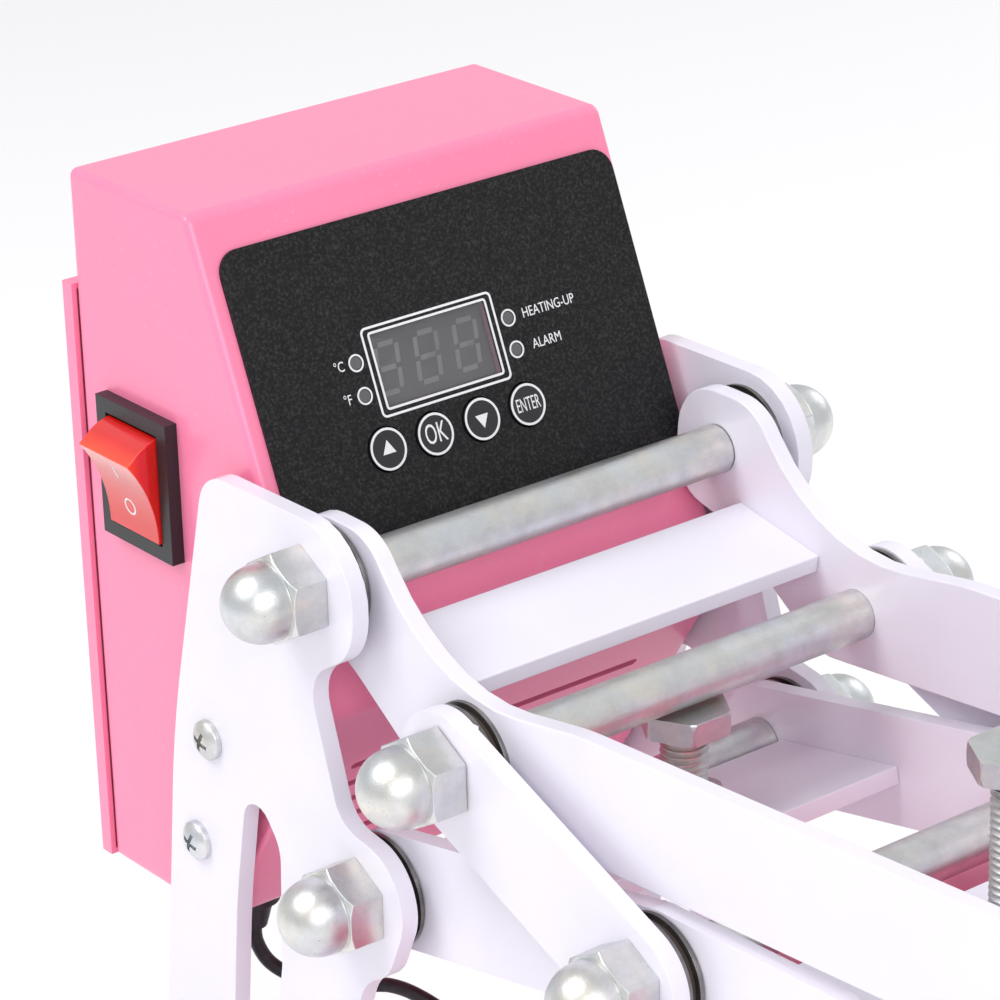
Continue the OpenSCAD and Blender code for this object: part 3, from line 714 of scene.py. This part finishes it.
class PRESS_OT_stage(bpy.types.Operator):
    """Sets the floor, the soft lights and the camera"""

    bl_idname = "press.stage"
    bl_label = "Stage"

    # Place and target in metres, power in watts, width in metres
    lamps = (
        ((-0.9, 0.4, 1.5), (0.0, 0.05, 0.18), 13, 0.9),
        ((-0.3, -1.5, 1.2), (0.0, 0.0, 0.15), 7, 1.1),
        ((1.5, 0.3, 0.9), (0.0, 0.05, 0.18), 4, 0.8),
        ((-0.7, -0.9, 0.75), (0.0, 0.05, 0.18), 3, 0.5),
    )
    sky = (0.985, 0.985, 1.0, 1.0)
    sky_strength = 0.73
    # From the control box's rear lower edge, in metres; turns in degrees
    camera_place = (-0.48246, -0.69345, 0.42561)
    camera_turn = (66.98, 1.549, -38.529)
    sensor_width = 36.0

    def execute(self, context):
        bpy.ops.object.select_all(action="DESELECT")
        bpy.ops.mesh.primitive_plane_add(size=sizes().floor)
        floor = bpy.context.object
        floor.name = "floor"
        f = Finish("pale_floor")
        floor.data.materials.append(f.coat(Base_Color=rgba(colours().floor), Roughness=0.6))
        for where, target, power, width in self.lamps:
            bpy.ops.object.light_add(type="AREA", location=where)
            lamp = bpy.context.object
            aim = Vector(target) - Vector(where)
            lamp.rotation_euler = aim.to_track_quat("-Z", "Y").to_euler()
            lamp.data.energy = power
            lamp.data.size = width
        bpy.context.scene.view_settings.view_transform = "Standard"
        world = bpy.data.worlds.new("studio")
        bpy.context.scene.world = world
        world.use_nodes = True
        background = world.node_tree.nodes["Background"]
        background.inputs["Color"].default_value = self.sky
        background.inputs["Strength"].default_value = self.sky_strength
        across, back, up = self.camera_place
        bpy.ops.object.camera_add(
            location=(across, BOX_BACK + back, BOX_BOTTOM + up),
            rotation=[math.radians(angle) for angle in self.camera_turn],
        )
        camera = bpy.context.object
        camera.data.lens = sizes().lens
        camera.data.sensor_width = self.sensor_width
        bpy.context.scene.camera = camera
        return {"FINISHED"}


class PRESS_OT_control_box(bpy.types.Operator):
    """Folds and coats the control box and its back cover"""

    bl_idname = "press.control_box"
    bl_label = "Control box"

    def execute(self, context):
        low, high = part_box("control_box_shell")
        width = high[0] - low[0]
        shell = copy_of("control_box_shell", "control_box_folded")

        def is_fold(a, b):
            """An edge over the whole width, or a long one on the outside of a flank."""
            across = abs(a.x - b.x) > width - 0.2 * MM
            outside = min(abs(a.x), abs(b.x)) > width / 2 - 0.05 * MM
            return across or (outside and (a - b).length > 0.3 * width)

        pick_edges(shell, is_fold)
        bpy.ops.mesh.bevel(offset=sizes().fold_radius, segments=5, affect="EDGES")
        bpy.ops.object.mode_set(mode="OBJECT")
        finish_piece(shell, "frame", finish_named("pink"), ("control_box_shell",), 25)
        dress("back_cover", "frame", finish_named("pink"), 0.35 * MM)
        return {"FINISHED"}


class PRESS_OT_panel(bpy.types.Operator):
    """Prints the front panel and fits its window, lamps and keys"""

    bl_idname = "press.panel"
    bl_label = "Front panel"

    # In millimetres from the window's middle, across and up the panel
    window_frames = ((33.7, 18.9, 1.3, -0.1), (30.6, 16.4, 0.8, 0))
    lamps = ((-19.65, 2.95), (-19.65, -3.95), (19.75, 2.75), (19.75, -4.05))
    labels = (
        ("°C", -23.9, 2.95, "CENTER"), ("°F", -23.9, -3.95, "CENTER"),
        ("HEATING-UP", 23.4, 2.75, "LEFT"), ("ALARM", 24.0, -4.05, "LEFT"),
    )
    lamp_ring, lamp_line = 1.85, 0.38
    label_height, label_narrow = 2.1, 0.8
    key_ring, key_arrow = 4.4, 1.9
    # A key's word, its height and how narrow it is drawn
    key_words = {"ok_button": ("OK", 4.2, 0.62), "enter_button": ("ENTER", 2.9, 0.5)}
    arrow_turns = {"up_button": 0.0, "down_button": math.pi}

    def execute(self, context):
        out = main_normal("front_panel", Vector((0, -1, 0.3)))
        dress("front_panel", "frame", finish_named("film"), 0.12 * MM, 1)
        dress("display_window", "frame", finish_named("window"))
        dress("indicator_lamps", "frame", finish_named("lens"), 0.25 * MM)
        self.display(out)
        self.print_film(out)
        for node, body in KEYS.items():
            self.key(node, body, out)
        return {"FINISHED"}

    @staticmethod
    def display(out):
        """The display's block; its figures stand highest and are paler."""
        block = copy_of("display_digits", "display_block")
        block.data.materials.append(finish_named("digits"))
        block.data.materials.append(finish_named("segments"))
        reach = max(v.co.dot(out) for v in block.data.vertices)
        for face in block.data.polygons:
            if face.center.dot(out) > reach - 0.05 * MM:
                face.material_index = 1
        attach(block, "frame")
        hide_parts("display_digits")

    def print_film(self, out):
        """The rings, frames and labels on the panel, laid out from the window's middle."""
        ink, line = sizes().ink, sizes().line
        film = face_place("front_panel", out)
        glass = face_place("display_window", out)
        level = (glass.translation - film.translation).dot(out)
        base = Matrix.Translation(glass.translation - out * level) @ film.to_3x3().to_4x4()

        def at(x, y):
            return base @ Matrix.Translation((x * MM, y * MM, -SINK))

        marks = [
            frame_print(width * MM, height * MM, corner * MM, line, ink, at(0, y))
            for width, height, corner, y in self.window_frames
        ]
        for x, y in self.lamps:
            ring = ring_print(self.lamp_ring * MM, self.lamp_line * MM, ink, at(x, y), 32)
            marks.append(ring)
        for word, x, y, align in self.labels:
            tall, narrow = self.label_height * MM, self.label_narrow
            marks.append(word_print(word, tall, ink, at(x, y), narrow, align))
        printed = joined(marks, "panel_print")
        finish_piece(printed, "frame", finish_named("ink"))

    def key(self, node, body, out):
        """A round key with its ring and its arrow or word."""
        ink = sizes().ink
        dress(node, body, finish_named("key"), 0.2 * MM)
        top = face_place(node, out, -SINK)
        marks = [ring_print(self.key_ring * MM, sizes().line, ink, top)]
        if node in self.key_words:
            word, height, narrow = self.key_words[node]
            marks.append(word_print(word, height * MM, ink, top, narrow))
        else:
            turn = self.arrow_turns[node]
            marks.append(arrow_print(self.key_arrow * MM, ink, top, turn))
        finish_piece(joined(marks, node + "_print"), body, finish_named("ink"))


class PRESS_OT_switch(bpy.types.Operator):
    """Fits the rocker switch and its marks"""

    bl_idname = "press.switch"
    bl_label = "Rocker switch"

    def execute(self, context):
        on, off = self.on_face(2.9 * MM), self.on_face(-5.6 * MM)
        dress("switch_bezel", "frame", finish_named("black"), 0.45 * MM, 3)
        dress("switch_rocker", "rocker", finish_named("rocker"), 0.6 * MM, 3)
        ink = sizes().ink
        bar = frame_print(0.5 * MM, 3.6 * MM, 0.08 * MM, 0.24 * MM, ink, on)
        ring = ring_print(1.95 * MM, 0.42 * MM, ink, off, 40)
        printed = joined([bar, ring], "rocker_print")
        finish_piece(printed, "rocker", finish_named("ink"))
        return {"FINISHED"}

    @staticmethod
    def on_face(height):
        """A frame on the rocker's scooped face, at a height from its middle."""
        low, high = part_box("switch_rocker")
        bpy.context.view_layer.update()
        outside = low[0] - 10 * MM
        start = Vector((outside, (low[1] + high[1]) / 2, (low[2] + high[2]) / 2 + height))
        hit, point, out, _ = frame["nodes"]["switch_rocker"].ray_cast(start, Vector((1, 0, 0)))
        if not hit:
            raise RuntimeError("the rocker's face was missed")
        across = Vector((0, -1, 0))
        turn = Matrix((across, out.cross(across), out)).transposed().to_4x4()
        return Matrix.Translation(point) @ turn


class PRESS_OT_plates(bpy.types.Operator):
    """Eases and coats the side plates, arms, links and cross plates"""

    bl_idname = "press.plates"
    bl_label = "Plates"

    def execute(self, context):
        far = sum(map(Vector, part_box("carrier_rod")), Vector()) / 2
        seams = {
            "links": self.seam("link_turn", far),
            "pressure_arms": self.seam("pressure_arm_lift", far),
        }
        white = finish_named("white")
        for body, nodes in WHITE_PLATES.items():
            for node in nodes:
                seam = None if "cross" in node else seams.get(body)
                dress(node, body, white, sizes().plate_ease, 3, seam)
        return {"FINISHED"}

    @staticmethod
    def seam(joint, far):
        """The plane through both pivots of an arm."""
        near = joint_line(joint)[0]
        return near, (far - near).cross(Vector((1, 0, 0))).normalized()


class PRESS_OT_hardware(bpy.types.Operator):
    """Finishes the rods, cap nuts, screws and thrust bearings"""

    bl_idname = "press.hardware"
    bl_label = "Hardware"

    def execute(self, context):
        ease_by = sizes().hardware_ease
        for node, body in CAP_NUTS.items():
            dress(node, body, finish_named("zinc"), ease_by)
        for node, body in RODS.items():
            dress(node, body, finish_named("zinc_rod"), ease_by)
        for node, body in FASTENERS.items():
            dress(node, body, finish_named("zinc"), 0.12 * MM, 1)
        for node, body in RACES.items():
            dress(node, body, finish_named("steel"), 0.15 * MM)
        for node, body in CAGES.items():
            dress(node, body, finish_named("cage"), 0.1 * MM, 1)
        return {"FINISHED"}


class PRESS_OT_bolts(bpy.types.Operator):
    """Cuts the threads of the stop bolt and the pressure bolt"""

    bl_idname = "press.bolts"
    bl_label = "Threaded bolts"

    def execute(self, context):
        bolts = (
            ("stop_bolt", "stop_screw", "stop_screw_turn"),
            ("pressure_bolt", "pressure_screw", "pressure_screw_turn"),
        )
        for node, body, joint in bolts:
            self.cut(node, body, joint)
        return {"FINISHED"}

    def cut(self, node, body, joint):
        pivot, axis = joint_line(joint)
        reach = [(v.co - pivot).dot(axis) for v in frame["nodes"][node].data.vertices]
        under = max(reach) - BOLT_HEAD
        foot = min(reach)
        turn = axis.to_track_quat("Z", "Y").to_matrix().to_4x4()
        head = copy_of(node, node + "_head")
        bpy.ops.object.mode_set(mode="EDIT")
        bpy.ops.mesh.select_all(action="SELECT")
        cut = pivot + axis * (under + 0.02 * MM)
        bpy.ops.mesh.bisect(plane_co=cut, plane_no=axis, use_fill=True, clear_inner=True)
        bpy.ops.object.mode_set(mode="OBJECT")
        ease(head, 0.2 * MM)

        radius, pitch = sizes().thread_radius, sizes().thread_pitch
        depth = THREAD_DEPTH * pitch
        root = radius - depth + 0.02 * MM
        bpy.ops.object.select_all(action="DESELECT")
        bpy.ops.mesh.primitive_cylinder_add(vertices=48, radius=root, depth=under - foot)
        core = bpy.context.object
        ease(core, 0.5 * MM, 2, 60)
        settle(core, Matrix.Translation(pivot + axis * (under + foot) / 2) @ turn)

        plain_foot, plain_both = 0.9 * MM, 1.4 * MM
        turns = int((under - foot - plain_both) / pitch)
        start = pivot + axis * (foot + plain_foot)
        thread = self.helix(radius, depth, pitch, turns)
        settle(thread, Matrix.Translation(start) @ turn)
        bolt = joined([head, core, thread], node + "_threaded")
        finish_piece(bolt, body, finish_named("zinc"), (node,))

    @staticmethod
    def helix(radius, depth, pitch, turns):
        """The thread's flanks, from a profile of one pitch screwed round Z."""
        bpy.ops.object.select_all(action="DESELECT")
        bpy.context.tool_settings.mesh_select_mode = (True, False, False)
        bpy.ops.mesh.primitive_plane_add(size=0.1 * MM, location=(radius - depth, 0, 0))
        thread = bpy.context.object
        bpy.ops.object.transform_apply(location=True)
        bpy.ops.object.mode_set(mode="EDIT")
        bpy.ops.mesh.select_all(action="SELECT")
        bpy.ops.mesh.merge(type="CENTER")
        flank, crest = FLANK * pitch, CREST * pitch
        gap = pitch - 2 * flank - crest
        for step in ((depth, 0, flank), (0, 0, crest), (-depth, 0, flank), (0, 0, gap)):
            bpy.ops.mesh.extrude_region_move(TRANSFORM_OT_translate={"value": step})
        bpy.ops.object.mode_set(mode="OBJECT")
        screw = thread.modifiers.new("thread", "SCREW")
        screw.axis = "Z"
        screw.screw_offset = pitch
        screw.iterations = turns
        screw.steps = screw.render_steps = 28
        screw.use_merge_vertices = True
        screw.merge_threshold = JOIN
        bpy.ops.object.modifier_apply(modifier=screw.name)
        bpy.ops.object.mode_set(mode="EDIT")
        bpy.ops.mesh.select_all(action="SELECT")
        bpy.ops.mesh.remove_doubles(threshold=JOIN)
        bpy.ops.mesh.normals_make_consistent(inside=False)
        bpy.ops.object.mode_set(mode="OBJECT")
        outward = sum(face.normal.xy.dot(face.center.xy) for face in thread.data.polygons)
        if outward < 0:
            bpy.ops.object.mode_set(mode="EDIT")
            bpy.ops.mesh.flip_normals()
            bpy.ops.object.mode_set(mode="OBJECT")
        return thread


class PRESS_OT_jaws(bpy.types.Operator):
    """Finishes the two jaws, their mat and their pad"""

    bl_idname = "press.jaws"
    bl_label = "Heater jaws"

    def execute(self, context):
        pink, silicone = finish_named("pink"), finish_named("silicone")
        dress("upper_jaw_cover", "upper_jaw", pink, 0.5 * MM, 3)
        dress("lower_jaw_cover", "frame", pink, 0.5 * MM, 3)
        dress("upper_jaw_block", "upper_jaw", finish_named("aluminium"), 0.2 * MM, 1)
        dress("pressure_pad", "upper_jaw", silicone, 0.4 * MM)
        dress("heating_mat", "frame", silicone, 0.4 * MM)
        return {"FINISHED"}


class PRESS_OT_handle(bpy.types.Operator):
    """Finishes the handle bar and its grip"""

    bl_idname = "press.handle"
    bl_label = "Handle"

    def execute(self, context):
        dress("handle_bar", "handle", finish_named("zinc_rod"), 0.3 * MM)
        dress("handle_grip", "handle", finish_named("grip"), 0.35 * MM)
        return {"FINISHED"}


class PRESS_OT_base(bpy.types.Operator):
    """Coats the base plate and finishes its feet"""

    bl_idname = "press.base"
    bl_label = "Base"

    def execute(self, context):
        dress("base_plate", "frame", finish_named("white"), 0.8 * MM, 3)
        dress("rubber_feet", "frame", finish_named("foot"), 0.5 * MM)
        return {"FINISHED"}


class PRESS_OT_electrics(bpy.types.Operator):
    """Finishes the inlet and what is inside the control box"""

    bl_idname = "press.electrics"
    bl_label = "Electrics"

    def execute(self, context):
        dress("power_inlet", "frame", finish_named("black"), 0.4 * MM)
        dress("control_board", "frame", finish_named("board"))
        dress("relay_module", "frame", finish_named("module"), 0.4 * MM, 1)
        return {"FINISHED"}


class PRESS_PT_panel(bpy.types.Panel):
    """Lists the press's pieces in the sidebar"""

    bl_label = "Mug Heat Press"
    bl_idname = "PRESS_PT_panel"
    bl_space_type = "VIEW_3D"
    bl_region_type = "UI"
    bl_category = "Press"

    def draw(self, context):
        for group in (context.scene.press_sizes, context.scene.press_colours):
            column = self.layout.column()
            for name in group.__annotations__:
                column.prop(group, name)
        for step in STEPS:
            self.layout.operator(step.bl_idname)


STEPS = (
    PRESS_OT_heater_lead, PRESS_OT_stage, PRESS_OT_control_box, PRESS_OT_panel, PRESS_OT_switch,
    PRESS_OT_plates, PRESS_OT_hardware, PRESS_OT_bolts, PRESS_OT_jaws, PRESS_OT_handle,
    PRESS_OT_base, PRESS_OT_electrics,
)
CLASSES = (PressSizes, PressColours, *STEPS, PRESS_PT_panel)


def register():
    for cls in CLASSES:
        bpy.utils.register_class(cls)
    bpy.types.Scene.press_sizes = bpy.props.PointerProperty(type=PressSizes)
    bpy.types.Scene.press_colours = bpy.props.PointerProperty(type=PressColours)


def unregister():
    del bpy.types.Scene.press_colours
    del bpy.types.Scene.press_sizes
    for cls in reversed(CLASSES):
        bpy.utils.unregister_class(cls)


def main():
    register()
    for step in STEPS:
        module, name = step.bl_idname.split(".")
        getattr(getattr(bpy.ops, module), name)()
    only()


if __name__ == "__main__":
    main()
